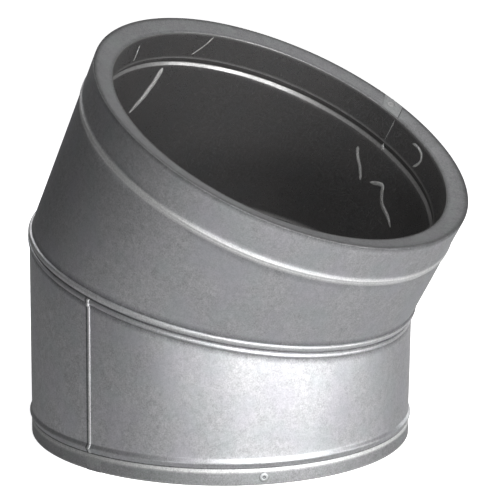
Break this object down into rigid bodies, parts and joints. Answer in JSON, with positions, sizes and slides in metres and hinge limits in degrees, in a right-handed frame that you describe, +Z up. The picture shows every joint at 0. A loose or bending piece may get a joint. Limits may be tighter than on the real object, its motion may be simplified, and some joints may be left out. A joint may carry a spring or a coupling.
{
  "type": "flue elbow",
  "caption": "Fixed 30 degree double-wall flue elbow: galvanised casing with lock seams and rolled beads, stainless liner, fibre blanket and closed end rings.",
  "frame": {"origin": "centre of the base plane, on the axis of the lower leg", "axes": "+Z up along the lower leg, the upper leg leans towards +X, and XZ is the plane of the bend"},
  "size_m": [0.5297, 0.4628, 0.489],
  "materials": {
    "galvanised_casing": "dull galvanised sheet",
    "galvanised_trim": "matte galvanised sheet",
    "stainless_liner": "bright cold-rolled stainless sheet",
    "fibre_blanket": "loose white ceramic fibre",
    "rivet_steel": "zinc plated"
  },
  "bodies": {
    "root": {"casing_lower": "galvanised_casing", "casing_upper": "galvanised_casing", "spigot_band": "galvanised_trim", "end_ring_upper": "galvanised_trim", "end_ring_lower": "galvanised_trim", "liner_lower": "stainless_liner", "liner_upper": "stainless_liner", "insulation_lower": "fibre_blanket", "insulation_upper": "fibre_blanket", "spigot_band_rivets": "rivet_steel", "end_ring_rivet": "rivet_steel", "mouth_sleeve": "stainless_liner", "mouth_sleeve_rivet": "rivet_steel"}
  },
  "joints": []
}
